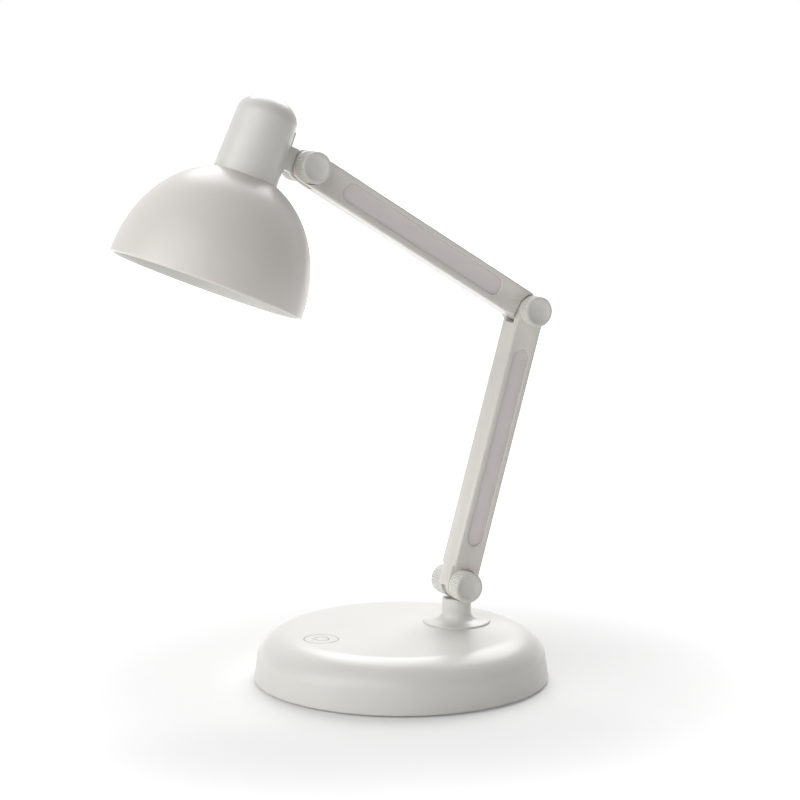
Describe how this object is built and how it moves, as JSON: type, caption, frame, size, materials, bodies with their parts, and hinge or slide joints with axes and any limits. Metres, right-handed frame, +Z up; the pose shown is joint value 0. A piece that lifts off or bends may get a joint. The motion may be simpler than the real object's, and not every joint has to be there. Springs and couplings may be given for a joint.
{
  "type": "folding led desk lamp",
  "caption": "Folding LED desk lamp: round weighted base with touch key, flat arms on fork hinges with knurled thumb knobs, and a domed shade on a bracket.",
  "frame": {"origin": "centre of the base's underside, on the table", "axes": "+Z up; the arms fold in the XZ plane, the shade hangs over the -X side and the stem stands on the +X side of the base"},
  "size_m": [0.1995, 0.13, 0.257],
  "materials": {
    "white_paint": "satin powder coat",
    "white_plastic": "fine matte",
    "grey_rubber": "matte",
    "zinc_steel": "zinc plated",
    "ballast_steel": "raw",
    "battery_wrap": "shrink wrap",
    "circuit_board": "solder mask",
    "spring_brass": "satin",
    "nylon": "natural",
    "cable_pvc": "smooth",
    "aluminium_core": "satin",
    "led_phosphor": "silicone over phosphor",
    "opal_diffuser": "opal"
  },
  "bodies": {
    "base": {"base_shell": "white_paint", "base_plate": "white_plastic", "foot_pad": "grey_rubber", "base_screws": "zinc_steel", "ballast": "ballast_steel", "battery": "battery_wrap", "touch_board": "circuit_board", "touch_spring": "spring_brass", "charge_board": "circuit_board", "usb_socket": "zinc_steel", "board_screws": "zinc_steel", "base_lead": "cable_pvc", "stem": "white_paint", "stem_washer": "zinc_steel", "stem_nut": "zinc_steel"},
    "lower_arm": {"lower_arm": "white_paint", "lower_arm_cover": "white_plastic", "lower_arm_lead": "cable_pvc", "base_hinge_washers": "nylon"},
    "upper_arm": {"upper_arm": "white_paint", "upper_arm_cover": "white_plastic", "upper_arm_lead": "cable_pvc", "elbow_washers": "nylon"},
    "head": {"head_bracket": "white_paint", "bracket_screws": "zinc_steel", "neck_cap": "white_paint", "shade": "white_paint", "lamp_carrier": "aluminium_core", "carrier_screws": "zinc_steel", "led_board": "aluminium_core", "led_chips": "led_phosphor", "diffuser": "opal_diffuser", "head_lead": "cable_pvc", "head_hinge_washers": "nylon"},
    "base_front_knob": {"base_knob_front": "white_plastic", "base_hinge_screw": "zinc_steel"},
    "base_back_knob": {"base_knob_back": "white_plastic"},
    "elbow_front_knob": {"elbow_knob_front": "white_plastic", "elbow_screw": "zinc_steel"},
    "elbow_back_knob": {"elbow_knob_back": "white_plastic"},
    "head_front_knob": {"head_knob_front": "white_plastic", "head_hinge_screw": "zinc_steel"},
    "head_back_knob": {"head_knob_back": "white_plastic"}
  },
  "joints": [
    {"name": "base_hinge", "type": "hinge", "parent": "base", "child": "lower_arm", "pos_m": [0.0278, 0, 0.0396], "axis": [0, 1, 0], "range_deg": [-96, 64]},
    {"name": "elbow_hinge", "type": "hinge", "parent": "lower_arm", "child": "upper_arm", "pos_m": [0.06236, 0, 0.16014], "axis": [0, -1, 0], "range_deg": [-74, 15]},
    {"name": "head_hinge", "type": "hinge", "parent": "upper_arm", "child": "head", "pos_m": [-0.04546, 0, 0.22648], "axis": [0, -1, 0], "range_deg": [-90, 45]},
    {"name": "base_front_knob_turn", "type": "hinge", "parent": "lower_arm", "child": "base_front_knob", "pos_m": [0.0278, 0, 0.0396], "axis": [0, -1, 0], "range_deg": [0, 270]},
    {"name": "base_back_knob_turn", "type": "hinge", "parent": "lower_arm", "child": "base_back_knob", "pos_m": [0.0278, 0, 0.0396], "axis": [0, 1, 0], "range_deg": [0, 270]},
    {"name": "elbow_front_knob_turn", "type": "hinge", "parent": "lower_arm", "child": "elbow_front_knob", "pos_m": [0.06236, 0, 0.16014], "axis": [0, -1, 0], "range_deg": [0, 270]},
    {"name": "elbow_back_knob_turn", "type": "hinge", "parent": "lower_arm", "child": "elbow_back_knob", "pos_m": [0.06236, 0, 0.16014], "axis": [0, 1, 0], "range_deg": [0, 270]},
    {"name": "head_front_knob_turn", "type": "hinge", "parent": "upper_arm", "child": "head_front_knob", "pos_m": [-0.04546, 0, 0.22648], "axis": [0, -1, 0], "range_deg": [0, 270]},
    {"name": "head_back_knob_turn", "type": "hinge", "parent": "upper_arm", "child": "head_back_knob", "pos_m": [-0.04546, 0, 0.22648], "axis": [0, 1, 0], "range_deg": [0, 270]}
  ]
}
